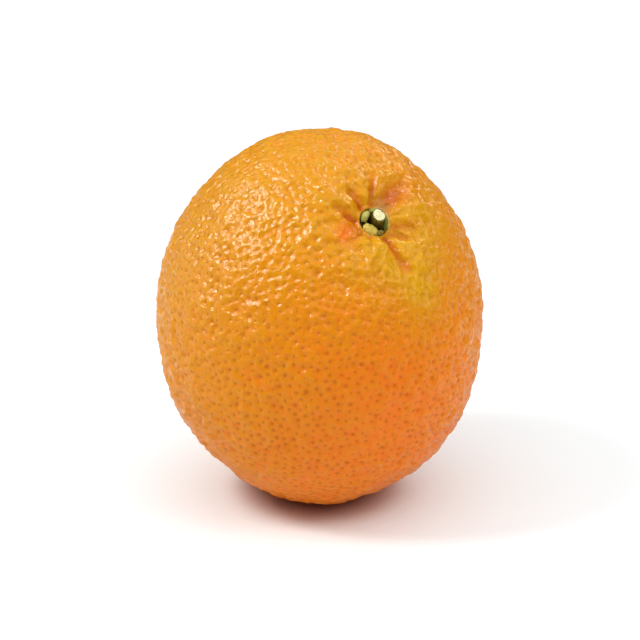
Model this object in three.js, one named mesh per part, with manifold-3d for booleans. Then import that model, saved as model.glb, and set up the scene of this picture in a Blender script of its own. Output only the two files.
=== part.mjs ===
// An orange, picked whole: the fruit, the green calyx at its stalk end and the stub of the cut stalk.
// Millimetres, +Z up. It rests on a slightly flattened spot, with the origin on the surface under
// its middle. The stalk end faces up, towards -Y and a little towards +X.
import * as THREE from "three";
import { ConvexHull } from "three/addons/math/ConvexHull.js";
import { mergeVertices } from "three/addons/utils/BufferGeometryUtils.js";
import Module from "manifold-3d";

const wasm = await Module();
wasm.setup();

// The fruit's form: an egg whose long axis leans, cut by the surface that it rests on.
const HALF_WIDTH = 38;
const HALF_DEPTH = 38.4;
const HALF_HEIGHT = 44.5;
const LOW_FULLNESS = 0.014; // share by which it is wider near the bottom than at the middle
const LEAN = THREE.MathUtils.degToRad(2.4); // of the long axis, towards -X
const REST_SPOT_RADIUS = 8;
const MIDDLE_OFFSET = new THREE.Vector2(0.1, -0.1); // puts its box over the origin

// Broad swells of the peel: waves over the unit sphere, by direction, phase and height.
const SWELLS = [
  { wave: [5.1, 1.7, -2.3], phase: 0.4, height: 0.2 },
  { wave: [-2.2, 6, 3.1], phase: 1.9, height: 0.18 },
  { wave: [3.4, -3.9, 5.2], phase: 3.2, height: 0.16 },
  { wave: [-6.5, 2, 6.1], phase: 5.1, height: 0.12 },
];

// The stalk end, on the unit sphere that is stretched to the egg form.
const STALK_TILT = THREE.MathUtils.degToRad(45.3); // from straight up
const STALK_TURN = THREE.MathUtils.degToRad(-57.3); // from +X, anticlockwise seen from above

// The hollow round the stalk: a steep little well, a funnel round it and a flattened crown.
const WELL_DEPTH = 3;
const WELL_FLOOR_RADIUS = 3.2;
const WELL_RIM_RADIUS = 3.9;
const FUNNEL = { depth: 1.2, radius: 5.5 };
const CROWN = { depth: 1.5, radius: 12 };

// Furrows that run out from the well. at is the angle round the stalk at the well's rim, in degrees
// from level on the right, and bend the degrees by which it turns for each mm from there. reach is
// where one ends. edge is 1 for a sharp crease and 2 for a soft hollow.
const FURROWS = [
  { at: 45, bend: -1.3, reach: 16, depth: 1.0, halfWidth: 2.3, edge: 2 },
  { at: 76, bend: -0.7, reach: 16, depth: 0.9, halfWidth: 0.8, edge: 1 },
  { at: 115, bend: -0.9, reach: 12, depth: 1.1, halfWidth: 0.9, edge: 1 },
  { at: 168, bend: -3.5, reach: 11.5, depth: 1.2, halfWidth: 0.9, edge: 1 },
  { at: 187, bend: 0, reach: 10.5, depth: 0.9, halfWidth: 2.0, edge: 2 },
  { at: 208, bend: -0.8, reach: 10.5, depth: 0.8, halfWidth: 0.8, edge: 1 },
  { at: 235, bend: 1, reach: 8, depth: 0.7, halfWidth: 0.7, edge: 1 },
  { at: 283, bend: 0.2, reach: 15.5, depth: 1.2, halfWidth: 0.9, edge: 1 },
  { at: 307, bend: 2.8, reach: 12, depth: 0.8, halfWidth: 1.0, edge: 1.5 },
  { at: 333, bend: 2, reach: 15, depth: 0.7, halfWidth: 1.2, edge: 1.5 },
];
const FURROW_START = [2.6, 3.8]; // a furrow deepens between these distances from the stalk
const FURROW_FULL = 0.45; // share of its reach over which it keeps its depth
const VALLEY = { depth: 0.35, halfWidth: 3, reach: 1.8 }; // its faint run-out, in shares of its own

// The blossom end, opposite the stalk: a shallow dimple round a corky scar.
const DIMPLE_DEPTH = 0.8;
const DIMPLE_RADIUS = 4.5;
const SCAR_HEIGHT = 0.35;
const SCAR_EDGE = [0.8, 1.7]; // it slopes down between these distances from its middle

// The peel's oil pits, about twice as wide as real ones so that the mesh can hold them.
const PIT_SPACING = 4.8;
const PIT_RADIUS = 1.5;
const PIT_DEPTH = 0.6;
const PIT_JITTER = 0.25; // share of the spacing by which each is off a regular spiral
const PIT_SEED = 31;
const PITS_START = [6, 12]; // they deepen between these distances from the stalk
const PRESSED_HEIGHT = 1.5; // below this they are shallower, and pressed flat at the bottom

// The mesh: points on a spiral down the fruit, and finer rings of them round the stalk and the
// blossom end.
const POINT_SPACING = 2.12;
const STALK_RINGS = { reach: 14, sides: 50, innermost: 2.7 };
const BLOSSOM_RINGS = { reach: 5, sides: 20, innermost: 1 };
const RINGS_CLEARANCE = 1.5; // from the widest ring to the spiral

// The calyx: a disc on the well's floor with five thick lobes that curl up its wall. A lobe's
// height is above the disc.
const PIECE_GAP = 0.3; // between pieces that lie on each other
const CALYX_RADIUS = 2.95;
const CALYX_THICKNESS = 0.8;
const CALYX_EDGE = 0.3; // rounding of the disc's edge
const DISC_SIDES = 32;
const DISC_EDGE_STEPS = 3;
const LOBES = [
  { at: 60, length: 3.2, width: 2.4, height: 1.2 },
  { at: 127, length: 3.1, width: 2.2, height: 1.5 },
  { at: 228, length: 3.1, width: 3.0, height: 1.7 },
  { at: 296, length: 3.2, width: 1.6, height: 1.2 },
  { at: 348, length: 3.3, width: 2.0, height: 0.9 },
];
const LOBE_THICKNESS = 1.0;
const LOBE_ROOT = 2.2; // from the middle
const LOBE_SIDES = 10;
const LOBE_STEPS = 7;

// The stub of the stalk: ribbed, leaning a little, and swollen round its pale cut end.
const STALK_LENGTH = 3;
const STALK_FOOT = new THREE.Vector2(0.6, 0.2); // from the calyx's middle, level and up the fruit
const STALK_END = new THREE.Vector2(0.5, 0.6);
const STALK_FOOT_RADIUS = 1.4;
const STALK_END_RADIUS = 1.4;
const STALK_WAIST = 0.15; // by which it is slimmer halfway up
const STALK_DOME = 0.35;
const STALK_DOME_RINGS = [0.85, 0.5]; // shares of the end's radius
const STALK_RIBS = 5;
const STALK_RIB_HEIGHT = 0.12;
const STALK_SIDES = 30;
const STALK_STEPS = 8;

const { degToRad, lerp, seededRandom, smoothstep } = THREE.MathUtils;

const leaning = new THREE.Matrix4().makeRotationY(-LEAN);
const stalkDirection = new THREE.Vector3(
  Math.sin(STALK_TILT) * Math.cos(STALK_TURN),
  Math.sin(STALK_TILT) * Math.sin(STALK_TURN),
  Math.cos(STALK_TILT),
);

// A point of the smooth egg form, from the middle of the fruit, for a direction on the unit sphere.
function eggPoint(direction) {
  const fullness = 1 - LOW_FULLNESS * direction.z;
  return new THREE.Vector3(
    direction.x * HALF_WIDTH * fullness,
    direction.y * HALF_DEPTH * fullness,
    direction.z * HALF_HEIGHT,
  ).applyMatrix4(leaning);
}

function eggNormal(direction) {
  return new THREE.Vector3(direction.x / HALF_WIDTH, direction.y / HALF_DEPTH, direction.z / HALF_HEIGHT)
    .applyMatrix4(leaning)
    .normalize();
}

// The stalk end's own frame: across is level, up runs up the fruit and out is along the stalk.
const stalkPoint = eggPoint(stalkDirection);
const out = eggNormal(stalkDirection);
const across = new THREE.Vector3(0, 0, 1).cross(out).normalize();
const up = new THREE.Vector3().crossVectors(out, across);
const blossomPoint = eggPoint(stalkDirection.clone().negate());

// A smooth hump: 1 in the middle, falling to a third at 1 and to nearly nothing at 2.
function bell(share) {
  return Math.exp(-(share ** 2));
}

function swell(direction) {
  return SWELLS.reduce((sum, { wave, phase, height }) => {
    const along = direction.x * wave[0] + direction.y * wave[1] + direction.z * wave[2];
    return sum + height * Math.sin(along + phase);
  }, 0);
}

// How far the peel is drawn in at a distance from the stalk's axis, all round it.
function hollowDepth(distance) {
  const beyondFloor = Math.max(distance, WELL_FLOOR_RADIUS);
  const well = WELL_DEPTH * (1 - smoothstep(distance, WELL_FLOOR_RADIUS, WELL_RIM_RADIUS));
  const funnel = FUNNEL.depth * bell(beyondFloor / FUNNEL.radius);
  const crown = CROWN.depth * bell(beyondFloor / CROWN.radius);
  return well + funnel + crown;
}

// The depth of one furrow at a distance from the stalk and an angle round it.
function furrowDepth({ at, bend, reach, depth, halfWidth, edge }, distance, angle) {
  const middle = degToRad(at + bend * (distance - WELL_RIM_RADIUS));
  const turn = Math.atan2(Math.sin(angle - middle), Math.cos(angle - middle));
  if (Math.abs(turn) > Math.PI / 2) return 0;
  const aside = Math.abs(distance * Math.sin(turn));
  const start = smoothstep(distance, ...FURROW_START);
  const creaseEnd = 1 - smoothstep(distance, reach * FURROW_FULL, reach);
  const crease = Math.exp(-((aside / halfWidth) ** edge)) * creaseEnd;
  const valleyEnd = 1 - smoothstep(distance, reach * FURROW_FULL, reach * VALLEY.reach);
  const valley = VALLEY.depth * bell(aside / (halfWidth * VALLEY.halfWidth)) * valleyEnd;
  return depth * start * (crease + valley);
}

// The relief of the blossom end, by distance from its middle: the dimple less the scar in it.
function blossomDepth(distance) {
  const dimple = DIMPLE_DEPTH * bell(distance / DIMPLE_RADIUS);
  const scar = SCAR_HEIGHT * (1 - smoothstep(distance, ...SCAR_EDGE));
  return dimple - scar;
}

// The spot it rests on cuts the egg this far above its lowest point.
const lowestRadius = (HALF_WIDTH * HALF_DEPTH) / HALF_HEIGHT;
const restSag = REST_SPOT_RADIUS ** 2 / (2 * lowestRadius);
const middleHeight = HALF_HEIGHT - restSag;

const middleRadius = Math.cbrt(HALF_WIDTH * HALF_DEPTH * HALF_HEIGHT);

// The share of a surface that each of many evenly spread points takes up.
function areaOfEach(spacing) {
  return (Math.sqrt(3) / 2) * spacing ** 2;
}

// Directions spread evenly over the unit sphere on a spiral, so that they come out at the given
// spacing on the fruit.
function spiralDirections(spacing) {
  const count = Math.round((4 * Math.PI * middleRadius ** 2) / areaOfEach(spacing));
  const goldenTurn = Math.PI * (3 - Math.sqrt(5));
  return Array.from({ length: count }, (_, i) => {
    const height = 1 - (2 * i + 1) / count;
    const radius = Math.sqrt(1 - height ** 2);
    return new THREE.Vector3(radius * Math.cos(i * goldenTurn), radius * Math.sin(i * goldenTurn), height);
  });
}

function makePits() {
  const nudge = () => (seededRandom() - 0.5) * 2 * PIT_JITTER * (PIT_SPACING / middleRadius);
  seededRandom(PIT_SEED);
  return spiralDirections(PIT_SPACING).map((direction) => ({
    middle: eggPoint(direction.add(new THREE.Vector3(nudge(), nudge(), nudge())).normalize()),
    depth: PIT_DEPTH * (0.6 + 0.8 * seededRandom()),
  }));
}

const pits = makePits();

// The depth of the pits at a point of the egg form, less their mean depth.
function pitDepth(point) {
  const mean = (PIT_DEPTH * Math.PI * PIT_RADIUS ** 2) / areaOfEach(PIT_SPACING);
  return pits.reduce((sum, pit) => {
    const away = point.distanceTo(pit.middle) / PIT_RADIUS;
    return sum + pit.depth * bell(away);
  }, -mean);
}

// A point of the peel, from the middle of the fruit.
function peelPoint(direction) {
  const point = eggPoint(direction);
  const normal = eggNormal(direction);
  const fromStalk = point.clone().sub(stalkPoint);
  const distance = fromStalk.length();
  const angle = Math.atan2(fromStalk.dot(up), fromStalk.dot(across));
  const drawnIn = FURROWS.reduce(
    (sum, furrow) => sum + furrowDepth(furrow, distance, angle),
    hollowDepth(distance),
  );
  const lift = swell(direction) * smoothstep(distance, WELL_RIM_RADIUS, CROWN.radius);
  const blossom = blossomDepth(point.distanceTo(blossomPoint));
  const pressed = smoothstep(point.z, -middleHeight, PRESSED_HEIGHT - middleHeight);
  const pitted = pitDepth(point) * smoothstep(distance, ...PITS_START) * pressed;
  point.addScaledVector(normal, lift - blossom - pitted);
  point.addScaledVector(out, -drawnIn);
  point.z = Math.max(point.z, -middleHeight);
  return point;
}

// Rings of directions round a pole. Each is as far from the next as its own points are apart.
function ringsRound(pole, { reach, sides, innermost }) {
  const sideways = new THREE.Vector3(0, 0, 1).cross(pole).normalize();
  const upwards = new THREE.Vector3().crossVectors(pole, sideways);
  const ringAt = (distance, count, shift) =>
    Array.from({ length: count }, (_, i) => {
      const polar = distance / eggPoint(pole).length();
      const turn = ((i + shift) / count) * 2 * Math.PI;
      return pole
        .clone()
        .multiplyScalar(Math.cos(polar))
        .addScaledVector(sideways, Math.sin(polar) * Math.cos(turn))
        .addScaledVector(upwards, Math.sin(polar) * Math.sin(turn));
    });
  const growth = 1 + Math.sqrt(3) * (Math.PI / sides);
  const directions = [pole, ...ringAt(innermost / 2, Math.round(sides / 4), 0)];
  let shift = 0;
  for (let distance = reach; distance > innermost; distance /= growth) {
    directions.push(...ringAt(distance, sides, shift));
    shift = 0.5 - shift;
  }
  return directions;
}

function fruitGeometry() {
  const clearOf = (end, { reach }) => (direction) =>
    eggPoint(direction).distanceTo(end) > reach + RINGS_CLEARANCE;
  const directions = [
    ...ringsRound(stalkDirection, STALK_RINGS),
    ...ringsRound(stalkDirection.clone().negate(), BLOSSOM_RINGS),
    ...spiralDirections(POINT_SPACING)
      .filter(clearOf(stalkPoint, STALK_RINGS))
      .filter(clearOf(blossomPoint, BLOSSOM_RINGS)),
  ];
  // The hull of the directions joins each to its neighbours.
  const places = new Map(directions.map((direction, place) => [direction, place]));
  const hull = new ConvexHull().setFromPoints(directions);
  const faces = hull.faces.flatMap(({ edge }) =>
    [edge, edge.next, edge.next.next].map((side) => places.get(side.head().point)),
  );
  return meshOf(directions.map(peelPoint), faces);
}

function meshOf(points, faces) {
  const geometry = new THREE.BufferGeometry().setFromPoints(points);
  geometry.setIndex(faces);
  geometry.computeVertexNormals();
  return geometry;
}

// A closed mesh over rings of points, with a point at each end. Seen from the first end, the
// rings run anticlockwise.
function loft(first, rings, last) {
  const sides = rings[0].length;
  const points = [first, ...rings.flat(), last];
  const at = (ring, side) => 1 + ring * sides + (side % sides);
  const faces = [];
  for (let side = 0; side < sides; side++) {
    faces.push(0, at(0, side), at(0, side + 1));
    for (let ring = 0; ring < rings.length - 1; ring++) {
      faces.push(at(ring, side), at(ring + 1, side), at(ring + 1, side + 1));
      faces.push(at(ring, side), at(ring + 1, side + 1), at(ring, side + 1));
    }
    faces.push(points.length - 1, at(rings.length - 1, side + 1), at(rings.length - 1, side));
  }
  return meshOf(points, faces);
}

function solidOf(geometry) {
  const bare = geometry.clone();
  bare.deleteAttribute("normal");
  bare.deleteAttribute("uv");
  const merged = mergeVertices(bare);
  const vertProperties = new Float32Array(merged.attributes.position.array);
  const triVerts = new Uint32Array(merged.index.array);
  return new wasm.Manifold(new wasm.Mesh({ numProp: 3, vertProperties, triVerts }));
}

function geometryOf(solid) {
  const mesh = solid.getMesh();
  const geometry = new THREE.BufferGeometry();
  geometry.setAttribute("position", new THREE.BufferAttribute(mesh.vertProperties, 3));
  geometry.setIndex(new THREE.BufferAttribute(mesh.triVerts, 1));
  geometry.computeVertexNormals();
  return geometry;
}

// Heights in the stalk end's frame, where 0 is the smooth egg form.
const wellFloor = -hollowDepth(0);
const calyxFoot = wellFloor + PIECE_GAP;
const calyxTop = calyxFoot + CALYX_THICKNESS;

function calyxDiscGeometry() {
  const profile = new THREE.Path()
    .moveTo(0, calyxFoot)
    .lineTo(CALYX_RADIUS - CALYX_EDGE, calyxFoot)
    .lineTo(CALYX_RADIUS, calyxFoot + CALYX_EDGE)
    .quadraticCurveTo(CALYX_RADIUS, calyxTop, CALYX_RADIUS - 2 * CALYX_EDGE, calyxTop)
    .lineTo(0, calyxTop)
    .getPoints(DISC_EDGE_STEPS);
  return new THREE.LatheGeometry(profile, DISC_SIDES).rotateX(Math.PI / 2);
}

// One lobe: a thick tongue from inside the disc, outwards and up the well's wall to a blunt tip.
function lobeGeometry({ at, length, width, height }) {
  const root = calyxFoot + CALYX_THICKNESS / 2;
  const tip = length - LOBE_THICKNESS / 2;
  const spine = new THREE.QuadraticBezierCurve3(
    new THREE.Vector3(LOBE_ROOT, 0, root),
    new THREE.Vector3(tip, 0, root),
    new THREE.Vector3(tip, 0, calyxTop + height),
  );
  const sideways = new THREE.Vector3(0, 1, 0);
  const rings = [];
  for (let step = 1; step <= LOBE_STEPS; step++) {
    const along = step / (LOBE_STEPS + 1);
    const middle = spine.getPoint(along);
    const thick = new THREE.Vector3().crossVectors(spine.getTangent(along), sideways);
    const taper = Math.sqrt(1 - (2 * along - 1) ** 4);
    rings.push(
      Array.from({ length: LOBE_SIDES }, (_, i) => {
        const turn = (-i / LOBE_SIDES) * 2 * Math.PI;
        return middle
          .clone()
          .addScaledVector(sideways, (width / 2) * taper * Math.cos(turn))
          .addScaledVector(thick, (LOBE_THICKNESS / 2) * taper * Math.sin(turn));
      }),
    );
  }
  return loft(spine.getPoint(0), rings, spine.getPoint(1)).rotateZ(degToRad(at));
}

function calyxGeometry() {
  const solids = LOBES.map((lobe) => solidOf(lobeGeometry(lobe)));
  return geometryOf(solids.reduce((whole, lobe) => whole.add(lobe), solidOf(calyxDiscGeometry())));
}

function stalkGeometry() {
  const foot = calyxTop + PIECE_GAP;
  const radiusAt = (along) =>
    lerp(STALK_FOOT_RADIUS, STALK_END_RADIUS, along) - STALK_WAIST * Math.sin(along * Math.PI);
  const axisAt = (along) => {
    const { x, y } = STALK_FOOT.clone().lerp(STALK_END, along);
    return new THREE.Vector3(x, y, foot + (STALK_LENGTH - STALK_DOME) * along);
  };
  const ringOf = (along, radius, height) =>
    Array.from({ length: STALK_SIDES }, (_, i) => {
      const turn = (-i / STALK_SIDES) * 2 * Math.PI;
      const ribbed = radius * (1 + STALK_RIB_HEIGHT * Math.cos(STALK_RIBS * turn) * (1 - along));
      return axisAt(along).add(new THREE.Vector3(ribbed * Math.cos(turn), ribbed * Math.sin(turn), height));
    });
  const side = Array.from({ length: STALK_STEPS + 1 }, (_, i) => {
    const along = i / STALK_STEPS;
    return ringOf(along, radiusAt(along), 0);
  });
  const dome = STALK_DOME_RINGS.map((share) =>
    ringOf(1, STALK_END_RADIUS * share, STALK_DOME * Math.sqrt(1 - share ** 2)),
  );
  return loft(axisAt(0), [...side, ...dome], axisAt(1).add(new THREE.Vector3(0, 0, STALK_DOME)));
}

function piece(name, geometry, material) {
  const mesh = new THREE.Mesh(geometry, new THREE.MeshStandardMaterial(material));
  mesh.name = name;
  return mesh;
}

const orange = new THREE.Group();
orange.position.set(MIDDLE_OFFSET.x, MIDDLE_OFFSET.y, middleHeight);
orange.add(piece("fruit", fruitGeometry(), { color: 0xe8841c, roughness: 0.38, metalness: 0 }));

const button = new THREE.Group();
button.position.copy(stalkPoint);
button.setRotationFromMatrix(new THREE.Matrix4().makeBasis(across, up, out));
button.add(piece("calyx", calyxGeometry(), { color: 0x8a8f2e, roughness: 0.6, metalness: 0 }));
button.add(piece("stalk", stalkGeometry(), { color: 0x4c5220, roughness: 0.7, metalness: 0 }));
orange.add(button);

export default orange;
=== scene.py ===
import math

import bpy
import numpy as np
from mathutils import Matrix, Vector, noise


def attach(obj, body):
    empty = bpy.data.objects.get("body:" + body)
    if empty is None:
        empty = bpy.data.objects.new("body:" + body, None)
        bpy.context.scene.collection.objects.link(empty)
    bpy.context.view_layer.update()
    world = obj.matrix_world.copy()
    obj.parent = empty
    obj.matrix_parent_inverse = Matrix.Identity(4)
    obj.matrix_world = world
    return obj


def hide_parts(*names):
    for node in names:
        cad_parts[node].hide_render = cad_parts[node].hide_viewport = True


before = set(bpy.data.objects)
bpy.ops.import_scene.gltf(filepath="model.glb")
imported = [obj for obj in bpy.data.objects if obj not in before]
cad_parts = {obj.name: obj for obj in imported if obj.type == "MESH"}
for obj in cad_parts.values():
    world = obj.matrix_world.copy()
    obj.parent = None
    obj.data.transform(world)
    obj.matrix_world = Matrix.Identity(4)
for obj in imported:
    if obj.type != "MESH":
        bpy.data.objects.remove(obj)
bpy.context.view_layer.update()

# The fruit: a ripe orange that grew in one piece. It is an egg that leans a little, stands on its
# lower end, and is drawn in round the stalk, where furrows run out from a well. Its waxy peel is
# full of oil glands, each with a small pit over it.

MM = 0.001  # every size below is in millimetres unless it says otherwise

HALF_SIZES = np.array([38.0, 38.4, 44.5])
LOW_FULLNESS = 0.024  # by which the fruit is fuller below its middle and slimmer above it
LEAN = math.radians(2.4)
REST_SPOT_RADIUS = 8.0
MIDDLE_OFFSET = (0.1, -0.1)

# Shallow swellings over the whole fruit: waves along a direction, their phase and height.
SWELLS = [
    ((5.1, 1.7, -2.3), 0.4, 0.2),
    ((-2.2, 6.0, 3.1), 1.9, 0.18),
    ((3.4, -3.9, 5.2), 3.2, 0.16),
    ((-6.5, 2.0, 6.1), 5.1, 0.12),
]

# Where the fruit is fuller or flatter than an egg: the way there, the height, and the reach in
# radians.
BULGES = [
    ((0.31, -0.33, -0.89), -0.8, 0.32),
    ((-0.5, 0.3, 0.81), -0.4, 0.3),
    ((-0.97, 0.09, 0.24), 0.35, 0.25),
]

STALK_TILT = math.radians(45.3)
STALK_TURN = math.radians(-57.3)
WELL_DEPTH = 3.0
WELL_FLOOR_RADIUS = 3.05
WELL_RIM_RADIUS = 3.6
FUNNEL_DEPTH = 1.2
FUNNEL_RADIUS = 5.5
CROWN_DEPTH = 1.5
CROWN_RADIUS = 12.0

# Furrows round the stalk: the angle where each starts, degrees by which it bends in a millimetre,
# reach, depth, half width, and how sharply its sides meet (1 is sharp, 2 is round).
FURROWS = [
    (45, -1.3, 16, 1.0, 2.3, 2),
    (76, -0.7, 16, 0.9, 0.8, 1),
    (115, -0.9, 12, 1.1, 0.9, 1),
    (168, -3.5, 11.5, 1.2, 0.9, 1),
    (187, 0, 10.5, 0.6, 2.0, 2),
    (208, -0.8, 10.5, 0.8, 0.8, 1),
    (235, 1, 8, 0.7, 0.7, 1),
    (283, 0.2, 15.5, 1.2, 0.9, 1),
    (307, 2.8, 12, 0.8, 1.0, 1.5),
    (333, 2, 15, 0.7, 1.2, 1.5),
]
FURROW_START = (3.0, 4.6)
FURROW_FULL = 0.45  # share of its reach at which a furrow begins to fade
VALLEY_DEPTH = 0.35
VALLEY_HALF_WIDTH = 3.0
VALLEY_REACH = 1.8

# Fine wrinkles that run out from the well: how many all round, phase, height, and where they lie.
WRINKLES = [
    (23, 0.3, 0.1, 5.5, 2.0),
    (14, 1.9, 0.2, 9.5, 3.5),
    (9, 0.8, 0.2, 14.0, 4.0),
]

# Puffs of the peel between the furrows: distance from the stalk, angle, reach and height.
PUFFS = [
    (11.5, 95, 2.6, 0.55),
    (10.5, 61, 2.4, 0.6),
    (6.8, 133, 2.2, 0.4),
    (7.2, 251, 2.6, 0.6),
    (12.0, 314, 3.0, 0.5),
    (8.5, 352, 2.4, 0.4),
    (12.8, 240, 2.4, 0.5),
    (14.6, 272, 2.2, 0.5),
    (12.5, 16, 2.8, 0.5),
    (12.0, 145, 2.6, 0.4),
]

DIMPLE_DEPTH = 0.8
DIMPLE_RADIUS = 4.5
SCAR_HEIGHT = 0.35
SCAR_EDGE = (0.8, 1.7)
WRINKLE_TWIST = 0.35  # radians in a millimetre outwards
WRINKLE_WANDER = 0.8  # radians to either side
PUFF_START = (3.6, 6.0)  # distances from the stalk between which the puffs begin


def smoothstep(x, low, high):
    share = np.clip((x - low) / (high - low), 0, 1)
    return share * share * (3 - 2 * share)


def bell(share):
    return np.exp(-share * share)


def unit(vectors):
    return vectors / np.linalg.norm(vectors, axis=-1, keepdims=True)


leaning = np.array([
    [math.cos(LEAN), 0, -math.sin(LEAN)],
    [0, 1, 0],
    [math.sin(LEAN), 0, math.cos(LEAN)],
])
stalk_direction = np.array([
    math.sin(STALK_TILT) * math.cos(STALK_TURN),
    math.sin(STALK_TILT) * math.sin(STALK_TURN),
    math.cos(STALK_TILT),
])


def egg_point(directions):
    fullness = 1 - LOW_FULLNESS * directions[..., 2:3]
    return (directions * HALF_SIZES * np.concatenate([fullness, fullness, fullness ** 0], -1)) @ leaning.T


def egg_normal(directions):
    return unit((directions / HALF_SIZES) @ leaning.T)


# The stalk end's own frame: across is level, up runs up the fruit and out is along the stalk.
stalk_point = egg_point(stalk_direction)
out = egg_normal(stalk_direction)
across = unit(np.cross([0, 0, 1], out))
up = np.cross(out, across)
blossom_point = egg_point(-stalk_direction)

lowest_radius = HALF_SIZES[0] * HALF_SIZES[1] / HALF_SIZES[2]
middle_height = HALF_SIZES[2] - REST_SPOT_RADIUS ** 2 / (2 * lowest_radius)
middle = np.array([*MIDDLE_OFFSET, middle_height])


def hollow_depth(distance):
    beyond_floor = np.maximum(distance, WELL_FLOOR_RADIUS)
    well = WELL_DEPTH * (1 - smoothstep(distance, WELL_FLOOR_RADIUS, WELL_RIM_RADIUS))
    funnel = FUNNEL_DEPTH * bell(beyond_floor / FUNNEL_RADIUS)
    return well + funnel + CROWN_DEPTH * bell(beyond_floor / CROWN_RADIUS)


def furrow_depths(distance, angle):
    """The depth of all furrows together, and how far into a crease a point is, from 0 to 1, which sets the
    painted shade along the creases.
    """
    depths = np.zeros_like(distance)
    crease_shade = np.zeros_like(distance)
    for at, bend, reach, depth, half_width, edge in FURROWS:
        turn = angle - np.radians(at + bend * (distance - WELL_RIM_RADIUS))
        facing = np.cos(turn) > 0
        aside = np.abs(distance * np.sin(turn))
        start = smoothstep(distance, *FURROW_START) * facing
        crease = np.exp(-(aside / half_width) ** max(edge, 1.5))
        crease *= start * (1 - smoothstep(distance, reach * FURROW_FULL, reach))
        valley = VALLEY_DEPTH * bell(aside / (half_width * VALLEY_HALF_WIDTH))
        valley *= start * (1 - smoothstep(distance, reach * FURROW_FULL, reach * VALLEY_REACH))
        depths += depth * (crease + valley)
        crease_shade = np.maximum(crease_shade, crease * depth)
    return depths, crease_shade


# The mesh is six square grids of points blown up to a sphere, one of them centred on the stalk
# and drawn together there, where the relief is finest.
GRID_SIDE = 128
DRAWN_TOGETHER = 0.55
DRAWN_REACH = 0.25  # radians from the stalk


def sphere_grid(side):
    steps = np.tan(np.linspace(-math.pi / 4, math.pi / 4, side + 1))
    flat_u, flat_v = (grid.ravel() for grid in np.meshgrid(steps, steps, indexing="ij"))
    corner = np.arange(side * (side + 1)).reshape(side, side + 1)[:, :-1].ravel()
    quads = np.stack([corner, corner + side + 1, corner + side + 2, corner + 1], -1)
    axes = np.eye(3)
    points, faces = [], []
    for axis in range(3):
        for sign in (1, -1):
            u_axis, v_axis = axes[(axis + 1) % 3] * sign, axes[(axis + 2) % 3]
            face_points = flat_u[:, None] * u_axis + flat_v[:, None] * v_axis + sign * axes[axis]
            faces.append(quads + len(flat_u) * len(faces))
            points.append(face_points)
    points = unit(np.concatenate(points))
    _, first, place = np.unique(np.round(points, 7), axis=0, return_index=True, return_inverse=True)
    return points[first], place.ravel()[np.concatenate(faces)]


def draw_together(directions, pole):
    """Turns the grid so that its top lies on the pole, and draws its points together there."""
    sideways = unit(np.cross([0, 0, 1], pole))
    frame_axes = np.array([sideways, np.cross(pole, sideways), pole])
    polar = np.arccos(np.clip(directions[:, 2], -1, 1))
    stretch = 1 + DRAWN_TOGETHER * DRAWN_REACH * math.tanh(math.pi / DRAWN_REACH) / math.pi
    drawn = polar * stretch - DRAWN_TOGETHER * DRAWN_REACH * np.tanh(polar / DRAWN_REACH)
    level = directions[:, :2] / np.maximum(np.linalg.norm(directions[:, :2], axis=1, keepdims=True), 1e-9)
    moved = np.concatenate([level * np.sin(drawn)[:, None], np.cos(drawn)[:, None]], 1)
    return moved @ frame_axes


directions, fruit_faces = sphere_grid(GRID_SIDE)
directions = draw_together(directions, stalk_direction)
skin = egg_point(directions)
from_stalk = skin - stalk_point
distance = np.linalg.norm(from_stalk, axis=1)
plan_u, plan_v = from_stalk @ across, from_stalk @ up
plan_angle = np.arctan2(plan_v, plan_u)
stalk_side = from_stalk @ out > -HALF_SIZES[0]
drawn_in, crease_shade = furrow_depths(distance, plan_angle)
lift = sum(height * np.sin(directions @ np.array(wave) + phase) for wave, phase, height in SWELLS)
lift *= smoothstep(distance, WELL_RIM_RADIUS, CROWN_RADIUS)
for count, phase, height, where, width in WRINKLES:
    turning = count * plan_angle + phase
    turning = turning + WRINKLE_TWIST * distance + WRINKLE_WANDER * np.sin(3 * plan_angle)
    lift += height * np.sin(turning) * bell((distance - where) / width)
for puff_at, puff_angle, reach, height in PUFFS:
    puff_u = puff_at * math.cos(math.radians(puff_angle))
    puff_v = puff_at * math.sin(math.radians(puff_angle))
    puff = height * bell(np.hypot(plan_u - puff_u, plan_v - puff_v) / reach)
    lift += puff * smoothstep(distance, *PUFF_START) * stalk_side
for way, height, reach in BULGES:
    turned_away = np.arccos(np.clip(directions @ unit(np.array(way)), -1, 1))
    lift += height * bell(turned_away / reach)
from_blossom = np.linalg.norm(skin - blossom_point, axis=1)
lift -= DIMPLE_DEPTH * bell(from_blossom / DIMPLE_RADIUS)
lift += SCAR_HEIGHT * (1 - smoothstep(from_blossom, *SCAR_EDGE))
sunk = hollow_depth(distance) + drawn_in
skin = skin + egg_normal(directions) * lift[:, None] - out * sunk[:, None]
skin[:, 2] = np.maximum(skin[:, 2], -middle_height)

# How golden the peel is, from 0, red orange, to 1, gold. It is more so towards the top and the left
# and less so low in front: partly the peel's own ripening colour and partly painted light and shade
# that stand in for how the light falls across the fruit. Round the stalk it has patches: the middle
# across and up, the reach, and by how much each is more golden, or redder where the sign is minus.
STALK_END_TINTS = [
    ((4.5, -5.5), 13.0, 0.32),
    ((1.5, -11.5), 5.0, 0.1),
    ((5.0, -17.5), 4.5, 0.3),
    ((-7.3, -0.5), 2.6, -0.34),
    ((-9.0, -2.3), 2.4, -0.25),
    ((8.0, 5.4), 3.0, -0.2),
    ((13.0, 8.0), 3.0, -0.12),
    ((3.5, -11.8), 1.5, -0.4),
]
GOLDEN_SIDE = unit(np.array([-0.42, -0.12, 0.9]))
REDDER_SIDE = unit(np.array([0.3, -0.93, -0.2]))
REDDER_REACH = 0.7  # radians
MEAN_GOLD = 0.56
SUN_AND_PAINTED_LIGHT_GAIN = 0.2
REDDER_LOSS = 0.18

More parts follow.
